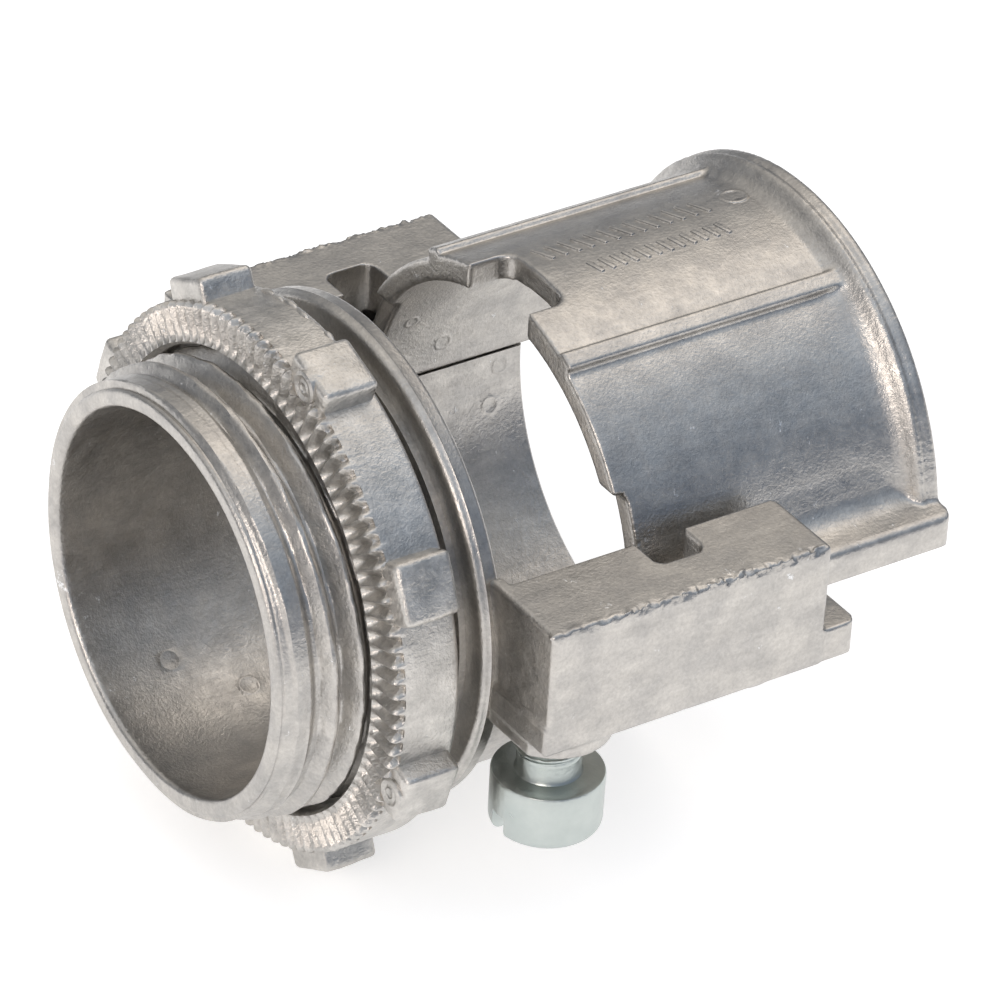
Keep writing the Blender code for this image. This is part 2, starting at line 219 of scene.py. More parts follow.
def turned(profile, steps, closed=True):
    """Ring about the x axis from (x, radius) points. An open profile starts and ends on the axis."""
    bm = bmesh.new()
    corners = [bm.verts.new((x, 0.0, radius)) for x, radius in profile]
    pairs = list(zip(corners, corners[1:]))
    if closed:
        pairs.append((corners[-1], corners[0]))
    edges = [bm.edges.new(pair) for pair in pairs]
    bmesh.ops.spin(bm, geom=corners + edges, cent=(0, 0, 0), axis=(1, 0, 0), angle=FULL_TURN,
                   steps=steps, use_merge=True)
    bmesh.ops.remove_doubles(bm, verts=bm.verts, dist=0.0005)
    bmesh.ops.recalc_face_normals(bm, faces=bm.faces)
    return bm


def box(low, high, edge=0.0, edge_axis=None, segments=3):
    """Box between two corners; edge rounds every edge, or only those that run along edge_axis."""
    bm = bmesh.new()
    low, high = Vector(low), Vector(high)
    place = Matrix.Translation((low + high) / 2) @ Matrix.Diagonal((*(high - low), 1.0))
    bmesh.ops.create_cube(bm, size=1.0, matrix=place)
    if edge:
        chosen = [e for e in bm.edges if edge_axis is None
                  or abs((e.verts[1].co - e.verts[0].co).normalized()[edge_axis]) > 0.99]
        bmesh.ops.bevel(bm, geom=chosen, offset=edge, segments=segments, profile=0.5, affect="EDGES",
                        material=-1)
    return bm


def rod(radius, centre, low_z, high_z, steps=48):
    """Upright cylinder about an (x, y) centre."""
    bm = bmesh.new()
    place = Matrix.Translation((*centre, (low_z + high_z) / 2))
    bmesh.ops.create_cone(bm, cap_ends=True, segments=steps, radius1=radius, radius2=radius,
                          depth=high_z - low_z, matrix=place)
    return bm


def bar_along_x(section, start_x, end_x, side=1):
    """Bar with a (y, z) section; side = -1 mirrors it to y < 0."""
    bm = bmesh.new()
    face = bm.faces.new([bm.verts.new((start_x, side * y, z)) for y, z in section])
    grown = bmesh.ops.extrude_face_region(bm, geom=[face])["geom"]
    moved = [item for item in grown if isinstance(item, bmesh.types.BMVert)]
    bmesh.ops.translate(bm, verts=moved, vec=(end_x - start_x, 0, 0))
    bmesh.ops.recalc_face_normals(bm, faces=bm.faces)
    return bm


def arc(centre, radius, start, end, points):
    """Points of a circular arc in a (y, z) or (x, radius) plane, angles in degrees."""
    steps = [math.radians(start + (end - start) * i / (points - 1)) for i in range(points)]
    return [(centre[0] + radius * math.cos(a), centre[1] + radius * math.sin(a)) for a in steps]


def spread(start, end, count):
    return [start + (end - start) * i / (count - 1) for i in range(count)]


def ease(value, low, high):
    """0 below low, 1 above high and a smooth rise between; low > high makes it fall."""
    t = min(max((value - low) / (high - low), 0.0), 1.0)
    return t * t * (3 - 2 * t)


def cast_skin(obj, voxel, passes):
    """Merge a casting's solids into one skin and ease its edges as a worn die does."""
    remesh = obj.modifiers.new("skin", "REMESH")
    remesh.mode = "VOXEL"
    remesh.voxel_size = voxel
    easing = obj.modifiers.new("ease", "SMOOTH")
    easing.factor = 0.5
    easing.iterations = passes
    apply_modifiers(obj)


def join_into(obj, other):
    """Add another object's faces to obj's mesh without a Boolean."""
    bm = bmesh.new()
    bm.from_mesh(obj.data)
    bm.from_mesh(other.data)
    bm.to_mesh(obj.data)
    bm.free()
    bpy.data.objects.remove(other, do_unlink=True)


def finish_piece(obj, material, body, record_slot, *nodes, sharp=38):
    """Place a piece in the row frame, give it its material, tie it to its body and hide the CAD nodes it
    replaces.
    """
    obj.data.transform(INTO_ROW_FRAME)
    obj.data.materials.clear()
    obj.data.materials.append(material)
    obj.data.shade_smooth()
    if sharp:
        obj.data.set_sharp_from_angle(angle=math.radians(sharp))
    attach(obj, body)
    if nodes:
        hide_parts(*nodes)
    return obj


def add_to(collected, bm):
    """Move a bmesh's faces into another bmesh."""
    part = bpy.data.meshes.new("part")
    bm.to_mesh(part)
    bm.free()
    collected.from_mesh(part)
    bpy.data.meshes.remove(part)


def about_bore(degrees):
    """Turn what stands on top of the bore (90 degrees) to another place round it."""
    return Matrix.Rotation(math.radians(degrees - 90), 4, "X")


def pin_rings(places):
    """Low raised rings left by ejector pins."""
    rings = bmesh.new()
    for x, degrees, surface_r, ring_r, outward in places:
        ring = turned([(-0.30, ring_r - 0.20), (-0.01, ring_r - 0.18), (0.025, ring_r - 0.06),
                       (0.03, ring_r), (0.025, ring_r + 0.06), (-0.01, ring_r + 0.18),
                       (-0.30, ring_r + 0.20)], 36)
        place = (about_bore(degrees) @ Matrix.Translation((x, 0, surface_r))
                 @ Matrix.Rotation(math.radians(-90 * outward), 4, "Y"))
        bmesh.ops.transform(ring, matrix=place, verts=ring.verts)
        add_to(rings, ring)
    return mesh_object("pin_rings", rings)


# ---------------------------------------------------------------- body casting

def lead_in_radius(x):
    """Rounded lead-in band between the mouth and the first thread."""
    if x < LEAD_IN_END_X:
        rise = math.sin(math.pi / 2 * max(x - 0.10, 0.0) / (LEAD_IN_END_X - 0.10))
        return LEAD_IN_MOUTH_R + (LEAD_IN_R - LEAD_IN_MOUTH_R) * rise
    return LEAD_IN_R - 0.30 * ease(x, LEAD_IN_END_X, 2.0)


def thread_radius(x, turn):
    """Radius of the right-hand helix at x, turn being the share of a full turn about the axis."""
    crest_x = FIRST_CREST_X + THREAD_PITCH * turn
    off_crest = abs(((x - crest_x) / THREAD_PITCH + 0.5) % 1.0 - 0.5) * THREAD_PITCH
    flank = CREST_R - FLANK_SLOPE * max(0.0, off_crest - CREST_HALF_WIDTH)
    flank -= 0.5 * min(off_crest, CREST_HALF_WIDTH) ** 2
    if x < crest_x:
        run_in = LEAD_IN_R + 1.1 * max(0.0, x - 1.45)
        return max(min(flank, run_in), lead_in_radius(x))
    return max(flank, ROOT_R)


def make_hub():
    """Threaded hub with its plain bore and rounded mouth."""
    mouth = [(HUB_END_X, BORE_R)] + [(x, BORE_R) for x in spread(9.6, 1.6, 5)] + [
        (0.30, BORE_R), (0.02, BORE_R + 0.02), (-0.14, BORE_R + 0.07), (-0.25, BORE_R + 0.17),
        (-0.30, BORE_R + 0.33), (-0.30, 12.16), (-0.28, 12.30), (-0.20, 12.40), (-0.08, 12.455),
        (0.02, 12.43), (0.06, 12.44)]
    thread = [(x, LEAD_IN_MOUTH_R) for x in spread(0.10, HUB_END_X, 136)]
    bm = turned(mouth + thread, 216)
    for vert in bm.verts:
        x, y, z = vert.co
        radius = math.hypot(y, z)
        turn = (math.atan2(z, y) / FULL_TURN) % 1.0
        if radius > 12.45 and x > 0.08:
            target = thread_radius(x, turn)
            if x > LEAD_IN_END_X:
                target += 0.05 * noise.noise(Vector((x * 0.8, y * 0.35, z * 0.35)))
                ragged = noise.noise(Vector((x * 1.2, y * 1.5, z * 1.5)))
                target += 0.09 * ease(target, 12.95, 13.25) * ragged
            if x > NECK_START_X:
                target = max(target, NECK_R)
        else:
            target = radius
        target += 0.025 * noise.noise(Vector((x * 0.5, y * 0.25, z * 0.25)))
        vert.co.y *= target / radius
        vert.co.z *= target / radius
    hub = mesh_object("threaded_hub", bm)
    combine(hub, pin_rings(HUB_PINS), "UNION")
    return hub


def make_socket():
    """Flange with its rolled rim, and the lower half of the conduit socket."""
    rim = [(FLANGE_BACK_X - 0.02, 14.3)]
    rim += arc((FLANGE_BACK_X - 0.42, FLANGE_R - 0.46), 0.42, 0, 80, 6)
    rim += [(11.98, 15.08), (11.90, 15.13), (11.84, 15.08)]
    rim += arc((FLANGE_FRONT_X + 0.40, FLANGE_R - 0.48), 0.40, 100, 180, 6) + [(FLANGE_FRONT_X, 12.2)]
    inside = [(FLANGE_FRONT_X, BORE_R + 0.02), (12.55, BORE_R + 0.02), (12.70, BORE_R + 0.17),
              (12.70, SOCKET_R - 0.2), (12.85, SOCKET_R)]
    inside += [(x, SOCKET_R) for x in spread(13.5, 32.0, 24)]
    sleeve_end = [(SLEEVE_END_X - 0.15, SOCKET_R), (SLEEVE_END_X, SOCKET_R + 0.15),
                  (SLEEVE_END_X, SLEEVE_R - 0.2), (SLEEVE_END_X - 0.2, SLEEVE_R)]
    foot = [(FLANGE_BACK_X + 0.7, SLEEVE_R), (FLANGE_BACK_X + 0.25, SLEEVE_R + 0.07),
            (FLANGE_BACK_X + 0.05, SLEEVE_R + 0.25)]
    socket = mesh_object("flange_and_sleeve", turned(inside + sleeve_end + foot + rim, 200))
    opening = box((FLANGE_BACK_X + 0.03, -16.5, 0.04), (SLEEVE_END_X + 1, 16.5, 17))
    combine(socket, mesh_object("upper_opening", opening), "DIFFERENCE")
    combine(socket, pin_rings(SLEEVE_PINS), "UNION")
    return socket


def flash_line(side):
    """Ragged ridge of flash left by the die's parting line along a block's upper outer edge."""
    ridge = bmesh.new()
    x = BLOCK_FRONT_X + 0.3
    while x < BLOCK_REAR_X - 0.5:
        wobble = noise.noise(Vector((x * 1.3, side * 7.0, 0.0)))
        size = 0.20 + 0.13 * noise.noise(Vector((x * 2.1, side * 3.0, 5.0)))
        spot = (x, side * (BLOCK_OUTER_Y - 0.22), BLOCK_TOP_Z - 0.12 + 0.14 * wobble)
        place = (Matrix.Translation(spot) @ Matrix.Rotation(0.5 * wobble, 4, "Z")
                 @ Matrix.Diagonal((2.6, 0.9, 1.0, 1.0)))
        bmesh.ops.create_icosphere(ridge, subdivisions=1, radius=size, matrix=place)
        x += 0.42 + 0.2 * wobble
    return mesh_object("flash", ridge)


def chip_edge(block, side):
    """Roughen the flash along a block's upper outer edge, less towards its front corner."""
    for vert in block.data.vertices:
        if not BLOCK_FRONT_X + 0.2 < vert.co.x < BLOCK_REAR_X - 0.4:
            continue
        off_edge = math.hypot(side * vert.co.y - BLOCK_OUTER_Y + 0.05, vert.co.z - BLOCK_TOP_Z + 0.05)
        share = ease(off_edge, 0.55, 0.15) * (0.35 + 0.65 * ease(vert.co.x, 13.0, 19.0))
        if share > 0.0:
            chip = noise.noise_vector(vert.co * 2.6) + 0.6 * noise.noise_vector(vert.co * 5.5)
            inward = Vector((0, -side, -1)).normalized()
            vert.co += share * (0.18 * chip + 0.06 * inward)
            vert.co.y = side * min(side * vert.co.y, BLOCK_OUTER_Y)


def make_block(side, label):
    """Side block with its rail groove, bypass notch, hook, tail ledge and screw boss."""
    def part(low, high, edge=0.0, edge_axis=None):
        ys = sorted((side * low[1], side * high[1]))
        return mesh_object("part", box((low[0], ys[0], low[2]), (high[0], ys[1], high[2]), edge, edge_axis))

    block = part((BLOCK_FRONT_X, 13.9, BLOCK_BOTTOM_Z), (BLOCK_REAR_X, BLOCK_OUTER_Y, BLOCK_TOP_Z), 0.22)
    lower_front = part((BLOCK_FRONT_X - 0.15, 14.2, BLOCK_BOTTOM_Z + 0.02),
                       (BLOCK_FRONT_X + 1, BLOCK_OUTER_Y - 0.05, BLOCK_BOTTOM_Z + 1.8), 0.1)
    combine(block, lower_front, "UNION")
    tail = part((BLOCK_FRONT_X + 0.5, 13.5, BLOCK_BOTTOM_Z + 0.02),
                (TAIL_END_X, BLOCK_OUTER_Y - 0.12, 0.02), 0.75, 2)
    combine(block, tail, "UNION")
    boss = mesh_object("boss", rod(BOSS_R, (SCREW_X, side * SCREW_Y), BOSS_BOTTOM_Z, -1.0))
    combine(boss, part((8.0, 10.0, -5.0), (BLOCK_FRONT_X - 0.05, 22.0, 1.0)), "DIFFERENCE")
    combine(block, boss, "UNION")
    pad = mesh_object("pad", rod(PAD_R, (PAD_X, side * PAD_Y), BLOCK_BOTTOM_Z - 0.28, -1.5))
    combine(block, pad, "UNION")
    groove = part((GROOVE_FRONT_X, 12.0, 0.0), (TAIL_END_X + 1, RAIL_WALL_Y, RAIL_ROOF_Z), 0.25, 0)
    combine(block, groove, "DIFFERENCE")
    inner_clearance = part((FLANGE_BACK_X + 0.06, 12.0, 0.0), (TAIL_END_X + 1, BLOCK_INNER_Y, 8.0))
    combine(block, inner_clearance, "DIFFERENCE")
    notch = part((NOTCH_FRONT_X, 12.0, NOTCH_FLOOR_Z), (NOTCH_REAR_X, RAIL_WALL_Y, 8.0), 0.8, 2)
    combine(block, notch, "DIFFERENCE")
    hole = rod(SCREW_HOLE_R, (SCREW_X, side * SCREW_Y), -5.0, SCREW_HOLE_TOP_Z)
    combine(block, mesh_object("hole", hole), "DIFFERENCE")
    socket_space = turned([(GROOVE_FRONT_X, 0.5), (GROOVE_FRONT_X, SOCKET_R + 0.5),
                           (SLEEVE_END_X + 2, SOCKET_R + 0.5), (SLEEVE_END_X + 2, 0.5)], 96)
    combine(block, mesh_object("socket_space", socket_space), "DIFFERENCE")
    join_into(block, flash_line(side))
    cast_skin(block, BLOCK_VOXEL, 2)
    chip_edge(block, side)
    block.name = block.data.name = "side_block_" + label
    return block


# ---------------------------------------------------------------- saddle

def crown_marks():
    """Two rows of plain raised dashes between the ribs, where a casting carries its marks."""
    marks = bmesh.new()
    for degrees, start_x, end_x, count, length in DASH_ROWS:
        for x in spread(start_x, end_x, count):
            dash = box((-DASH_HALF_WIDTH, -length / 2, -0.3), (DASH_HALF_WIDTH, length / 2, 0.10), 0.06)
            place = (about_bore(degrees) @ Matrix.Translation((x, 0, CROWN_R))
                     @ Matrix.Rotation(DASH_LEAN, 4, "Z"))
            bmesh.ops.transform(dash, matrix=place, verts=dash.verts)
            add_to(marks, dash)
    return mesh_object("crown_marks", marks)


def make_saddle():
    """Upper half of the socket: shell, crown panel with ribs, rear rim and the two rail beads."""
    fillet = [(RIM_FRONT_X - 2.5, SADDLE_R), (RIM_FRONT_X - 1.7, SADDLE_R + 0.08),
              (RIM_FRONT_X - 1.05, SADDLE_R + 0.27), (RIM_FRONT_X - 0.55, SADDLE_R + 0.58),
              (RIM_FRONT_X - 0.22, SADDLE_R + 0.95), (RIM_FRONT_X - 0.06, RIM_R - 0.16),
              (RIM_FRONT_X + 0.02, RIM_R - 0.12), (RIM_FRONT_X + 0.18, RIM_R),
              (RIM_FRONT_X + 0.50, RIM_R - 0.18), (RIM_FRONT_X + 0.80, RIM_R)]
    shell = [(SADDLE_FRONT_X, SOCKET_R), (SADDLE_FRONT_X, SADDLE_R)] + fillet + [
        (SADDLE_REAR_X - 0.2, RIM_R), (SADDLE_REAR_X, RIM_R - 0.2), (SADDLE_REAR_X, SOCKET_R)]
    saddle = mesh_object("saddle_casting", turned(shell, 180))
    crown = mesh_object("crown", turned([(SADDLE_FRONT_X, 13.9), (SADDLE_FRONT_X, CROWN_R),
                                         (40.8, CROWN_R), (40.8, 13.9)], 180))
    crown_limit = box((20, -CROWN_HALF_WIDTH, 2.0), (44, CROWN_HALF_WIDTH, 17))
    combine(crown, mesh_object("limit", crown_limit), "INTERSECT")
    combine(saddle, crown, "UNION")
    lean = math.asin(RIB_Y / RIB_TOP_R)
    for side in (-1, 1):
        rib = box((SADDLE_FRONT_X, -RIB_HALF_WIDTH, 13.7), (40.6, RIB_HALF_WIDTH, RIB_TOP_R))
        bmesh.ops.rotate(rib, verts=rib.verts, cent=(0, 0, 0), matrix=Matrix.Rotation(-side * lean, 3, "X"))
        combine(saddle, mesh_object("rib", rib), "UNION")
        section = [(13.10, 0.10), (BEAD_OUTER_Y, 0.10), (BEAD_OUTER_Y, 1.70)]
        section += arc((16.45, 1.75), 0.50, 0, 75, 4)
        section += [(15.75, 2.33)] + arc((15.75, 4.15), 1.80, -95, -165, 6) + [(13.60, 4.60)]
        bead = mesh_object("bead", bar_along_x(section, BEAD_FRONT_X, SADDLE_REAR_X - 0.05, side))
        end_low, end_high = sorted((side * 8.0, side * (BEAD_OUTER_Y + 0.02)))
        end = box((10.0, end_low, -3), (SADDLE_REAR_X - 0.05, end_high, 8), 0.75, 2, segments=5)
        combine(bead, mesh_object("end", end), "INTERSECT")
        combine(saddle, bead, "UNION")
    lower_half = box((20, -18, -18), (44, 18, SADDLE_BOTTOM_Z))
    combine(saddle, mesh_object("lower_half", lower_half), "DIFFERENCE")
    for side in (-1, 1):
        low_y, high_y = sorted((side * 8.0, side * 18.0))
        step = box((20, low_y, -1), (BEAD_FRONT_X, high_y, STEP_TOP_Z), 0.45, 1)
        combine(saddle, mesh_object("front_step", step), "DIFFERENCE")
    window = box((18, -WINDOW_HALF_WIDTH, 9), (WINDOW_REAR_X, WINDOW_HALF_WIDTH, 18), 0.9, 2, segments=5)
    combine(saddle, mesh_object("window", window), "DIFFERENCE")
    cast_skin(saddle, SADDLE_VOXEL, 2)
    combine(saddle, crown_marks(), "UNION")
    combine(saddle, pin_rings(SADDLE_PINS), "UNION")
    return saddle


# ---------------------------------------------------------------- locknut

def make_locknut():
    """Ring with radial teeth on both faces, smooth between them, and eight square lugs.

    The front teeth run out over the ring's edge; the rear ones stop short of it.
    """
    middle = (NUT_FRONT_X + NUT_BACK_X) / 2
    half = [(NUT_FRONT_X + 0.25, 13.66), (NUT_FRONT_X, NUT_FACE_R)]
    half += [(NUT_FRONT_X, r) for r in spread(14.05, 15.75, 7)]
    half += arc((NUT_FRONT_X + 0.38, NUT_R - 0.38), 0.38, 172, 92, 7)
    half += [(5.40, NUT_R), (5.60, NUT_R), (6.2, NUT_R - 0.02)]
    other_half = [(2 * middle - x, r) for x, r in reversed(half)]
    bm = turned(half + [(middle, NUT_R - 0.02)] + other_half, TOOTH_COUNT * STEPS_PER_TOOTH)
    for vert in bm.verts:
        x, y, z = vert.co
        radius = math.hypot(y, z)
        angle = math.atan2(z, y)
        if x > middle:
            reach = ease(radius, NUT_FACE_R, 14.30) * ease(radius, 15.75, 15.30) * 0.7
        else:
            reach = ease(radius, NUT_FACE_R, 14.20) * ease(x, 5.62, 5.20)
        if reach <= 0.0:
            continue
        valley = 0.5 - 0.5 * math.cos(TOOTH_COUNT * angle + 0.25 * (radius - 15.0))
        worn = 1.0 + 0.35 * noise.noise(Vector((y * 0.8, z * 0.8, x)))
        depth = TOOTH_DEPTH * reach * valley * worn
        inward = 1 if x < middle else -1
        scale = (radius - 0.60 * depth * ease(radius, 15.7, 16.1)) / radius
        vert.co = Vector((x + inward * depth, y * scale, z * scale))
    nut = mesh_object("locknut_casting", bm)
    for index in range(LUG_COUNT):
        lug = box((LUG_FRONT_X, -LUG_HALF_WIDTH, LUG_BASE_R), (LUG_BACK_X, LUG_HALF_WIDTH, LUG_TOP_R), 0.34)
        long_edges = [edge for edge in lug.edges if edge.calc_length() > 1.0]
        bmesh.ops.subdivide_edges(lug, edges=long_edges, cuts=3, use_grid_fill=True)
        for vert in lug.verts:
            vert.co.y *= 1.0 - 0.05 * (vert.co.z - LUG_BASE_R) / (LUG_TOP_R - LUG_BASE_R)
            vert.co += 0.06 * noise.noise_vector(vert.co * 0.7 + Vector((0, 0, index * 9.0)))
        turn = Matrix.Rotation(LUG_PHASE + index * FULL_TURN / LUG_COUNT - FULL_TURN / 4, 3, "X")
        bmesh.ops.rotate(lug, verts=lug.verts, cent=(0, 0, 0), matrix=turn)
        combine(nut, mesh_object("lug", lug), "UNION")
        if index in MARKED_LUGS:
            for outline, operation in ((PIN_RECESS, "DIFFERENCE"), (PIN_MARK, "UNION")):
                mark = turned(outline, 40, closed=False)
                bmesh.ops.translate(mark, verts=mark.verts, vec=(LUG_FRONT_X, 0, PIN_MARK_R))
                bmesh.ops.rotate(mark, verts=mark.verts, cent=(0, 0, 0), matrix=turn)
                combine(nut, mesh_object("pin_mark", mark), operation)
    flash = bmesh.new()
    for x, degrees, size in FLASH_LUMPS:
        place = (about_bore(degrees) @ Matrix.Translation((x, 0, NUT_R - 0.05))
                 @ Matrix.Diagonal((0.8, 2.4, 0.8, 1.0)))
        bmesh.ops.create_icosphere(flash, subdivisions=2, radius=size, matrix=place)
    for vert in flash.verts:
        vert.co += 0.10 * noise.noise_vector(vert.co * 1.6)
    join_into(nut, mesh_object("flash", flash))
    return nut


# ---------------------------------------------------------------- clamp screws

def make_screw(node, name):
    """Slotted fillister head screw with a rolled 8-32 thread, head down."""
    low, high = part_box(node)
    centre_x, centre_y = (low[0] + high[0]) / 2, (low[1] + high[1]) / 2
    length = (high[2] - low[2]) / MM
    head_end = SCREW_HEAD_HEIGHT
    dome = [(0.0, 0.0), (0.02, 1.2), (0.06, 2.1)] + arc((0.62, SCREW_HEAD_R - 0.62), 0.60, 180, 90, 6)
    head = dome + [(head_end - 0.18, SCREW_HEAD_R), (head_end - 0.05, SCREW_HEAD_R - 0.06),
                   (head_end, SCREW_HEAD_R - 0.2), (head_end, 1.95), (head_end + 0.15, SCREW_SHANK_R),
                   (head_end + 1.1, SCREW_SHANK_R)]
    thread = [(h, 1.9) for h in spread(head_end + 1.2, length - 0.1, 70)] + [(length, 1.5), (length, 0.0)]
    bm = turned(head + thread, 72, closed=False)
    for vert in bm.verts:
        h, y, z = vert.co
        radius = math.hypot(y, z)
        if h > head_end + 1.15 and radius > 1.6:
            turn = math.atan2(z, y) / FULL_TURN
            off_crest = abs((h / SCREW_PITCH - turn) % 1.0 - 0.5)
            rolled = SCREW_MINOR_R + (SCREW_MAJOR_R - SCREW_MINOR_R) * ease(off_crest, 0.42, 0.10)
            run_in = ease(h, head_end + 1.15, head_end + 1.75)
            wanted = SCREW_SHANK_R + (rolled - SCREW_SHANK_R) * run_in
            vert.co.y *= wanted / radius
            vert.co.z *= wanted / radius
    screw = mesh_object(name, bm)
    slot = box((-1.0, -5, -SLOT_HALF_WIDTH), (SLOT_DEPTH, 5, SLOT_HALF_WIDTH), 0.06)
    combine(screw, mesh_object("slot", slot), "DIFFERENCE")
    # the turned shape lies along x from the head's end: stand it up, aim its slot, put it at its node's place
    stand = Matrix(((0, 0, -1, 0), (0, 1, 0, 0), (1, 0, 0, 0), (0, 0, 0, 1)))
    aim = Matrix.Rotation(SLOT_ANGLE, 4, "Z")
    place = Matrix.Translation(((centre_x - HUB.x) / MM, (centre_y - HUB.y) / MM, (low[2] - HUB.z) / MM))
    screw.data.transform(place @ aim @ stand)
    return screw


# ---------------------------------------------------------------- materials

def linear(hex_colour):
    """Linear RGBA of an sRGB hex value."""
    channels = [int(hex_colour[i:i + 2], 16) / 255 for i in (1, 3, 5)]
    return (*(c / 12.92 if c <= 0.04045 else ((c + 0.055) / 1.055) ** 2.4 for c in channels), 1.0)


def add_node(tree, kind, inputs=None, **settings):
    """Add a node with its settings, and link or set its inputs by name or number."""
    node = tree.nodes.new(kind)
    for name, value in settings.items():
        setattr(node, name, value)
    for socket, value in (inputs or {}).items():
        if isinstance(value, bpy.types.NodeSocket):
            tree.links.new(value, node.inputs[socket])
        else:
            node.inputs[socket].default_value = value
    return node


def pattern_scale(size_mm):
    """Texture scale that makes a feature about this wide on Object coordinates in metres."""
    return 1.0 / (size_mm * MM)


# numbers of the colour sockets of a Mix node, whose names its other kinds of socket share
MIX_SHARE, MIX_A, MIX_B, MIX_RESULT = 0, 6, 7, 2


def die_cast_zinc(name, light_hex, dark_hex, roughness, cloud_mm, grain_depth_mm):
    """Zinc alloy as it leaves the die: satin and sandy, clouded by the hot metal's flow, with faint
    streaks along the bore and small bright nicks.
    """
    material = bpy.data.materials.new(name)
    material.use_nodes = True
    tree = material.node_tree
    shader = tree.nodes["Principled BSDF"]
    shader.inputs["Metallic"].default_value = 1.0
    place = add_node(tree, "ShaderNodeTexCoord").outputs["Object"]

    cloud = add_node(tree, "ShaderNodeTexNoise", {
        "Vector": place, "Scale": pattern_scale(cloud_mm), "Detail": 5.0, "Roughness": 0.58}).outputs[0]
    speckle = add_node(tree, "ShaderNodeTexNoise", {
        "Vector": place, "Scale": pattern_scale(0.8), "Detail": 3.0, "Roughness": 0.7}).outputs[0]
    grain = add_node(tree, "ShaderNodeTexNoise", {
        "Vector": place, "Scale": pattern_scale(0.22), "Detail": 2.0, "Roughness": 0.7}).outputs[0]
    drawn = add_node(tree, "ShaderNodeMapping", {"Vector": place, "Scale": (0.14, 1.0, 1.0)}).outputs[0]
    drag = add_node(tree, "ShaderNodeTexNoise", {
        "Vector": drawn, "Scale": pattern_scale(0.45), "Detail": 2.0}).outputs[0]
    scratched = add_node(tree, "ShaderNodeMapping", {
        "Vector": place, "Scale": (1.0, 0.55, 0.8), "Rotation": (0.5, 0.7, 0.4)}).outputs[0]
    scratch = add_node(tree, "ShaderNodeTexNoise", {
        "Vector": scratched, "Scale": pattern_scale(0.9), "Detail": 4.0, "Roughness": 0.75}).outputs[0]

    cloud_share = add_node(tree, "ShaderNodeMapRange", {
        "Value": cloud, "From Min": 0.36, "From Max": 0.64}).outputs[0]
    drag_shade = add_node(tree, "ShaderNodeMapRange", {
        "Value": drag, "From Min": 0.3, "From Max": 0.7, "To Min": 0.90, "To Max": 1.0}).outputs[0]
    grain_shade = add_node(tree, "ShaderNodeMapRange", {
        "Value": grain, "From Min": 0.3, "From Max": 0.7, "To Min": 0.88, "To Max": 1.06}).outputs[0]
    nick = add_node(tree, "ShaderNodeMapRange", {
        "Value": scratch, "From Min": 0.665, "From Max": 0.73, "To Min": 0.0, "To Max": 0.8}).outputs[0]

    tone = add_node(tree, "ShaderNodeMix", {
        MIX_SHARE: cloud_share, MIX_A: linear(dark_hex), MIX_B: linear(light_hex)}, data_type="RGBA")
    shade = add_node(tree, "ShaderNodeMath", {0: drag_shade, 1: grain_shade}, operation="MULTIPLY").outputs[0]
    grey = add_node(tree, "ShaderNodeCombineColor", {"Red": shade, "Green": shade, "Blue": shade})
    streaked = add_node(tree, "ShaderNodeMix", {
        MIX_SHARE: 1.0, MIX_A: tone.outputs[MIX_RESULT], MIX_B: grey.outputs[0]},
        data_type="RGBA", blend_type="MULTIPLY")
    nicked = add_node(tree, "ShaderNodeMix", {
        MIX_SHARE: nick, MIX_A: streaked.outputs[MIX_RESULT], MIX_B: linear("#F2F3F4")}, data_type="RGBA")
    tree.links.new(nicked.outputs[MIX_RESULT], shader.inputs["Base Color"])

    rough = add_node(tree, "ShaderNodeMapRange", {
        "Value": speckle, "From Min": 0.3, "From Max": 0.7,
        "To Min": roughness - 0.07, "To Max": roughness + 0.09}).outputs[0]
    tree.links.new(rough, shader.inputs["Roughness"])

    fine = add_node(tree, "ShaderNodeBump", {
        "Height": grain, "Strength": 0.7, "Distance": grain_depth_mm * MM}).outputs[0]
    waves = add_node(tree, "ShaderNodeBump", {
        "Height": cloud, "Strength": 0.12, "Distance": 0.06 * MM, "Normal": fine}).outputs[0]
    dents = add_node(tree, "ShaderNodeBump", {
        "Height": nick, "Strength": 0.4, "Distance": 0.05 * MM, "Normal": waves}).outputs[0]
    tree.links.new(dents, shader.inputs["Normal"])
    return material


def zinc_plated_steel():
    """Bright zinc plate over steel: smooth and cool, with a faint green tint and slight tarnish."""
    material = bpy.data.materials.new("bright_zinc_plated_steel")
    material.use_nodes = True
    tree = material.node_tree
    shader = tree.nodes["Principled BSDF"]
    shader.inputs["Metallic"].default_value = 1.0
    place = add_node(tree, "ShaderNodeTexCoord").outputs["Object"]
    tarnish = add_node(tree, "ShaderNodeTexNoise", {
        "Vector": place, "Scale": pattern_scale(1.6), "Detail": 3.0}).outputs[0]
    tone = add_node(tree, "ShaderNodeMix", {
        MIX_SHARE: tarnish, MIX_A: linear("#A9B1AE"), MIX_B: linear("#CDD2CE")}, data_type="RGBA")
    tree.links.new(tone.outputs[MIX_RESULT], shader.inputs["Base Color"])
    rough = add_node(tree, "ShaderNodeMapRange", {
        "Value": tarnish, "From Min": 0.3, "From Max": 0.7, "To Min": 0.27, "To Max": 0.40}).outputs[0]
    tree.links.new(rough, shader.inputs["Roughness"])
    grain = add_node(tree, "ShaderNodeTexNoise", {
        "Vector": place, "Scale": pattern_scale(0.3), "Detail": 2.0}).outputs[0]
    fine = add_node(tree, "ShaderNodeBump", {
        "Height": grain, "Strength": 0.5, "Distance": 0.04 * MM}).outputs[0]
    tree.links.new(fine, shader.inputs["Normal"])
    return material


# ---------------------------------------------------------------- studio

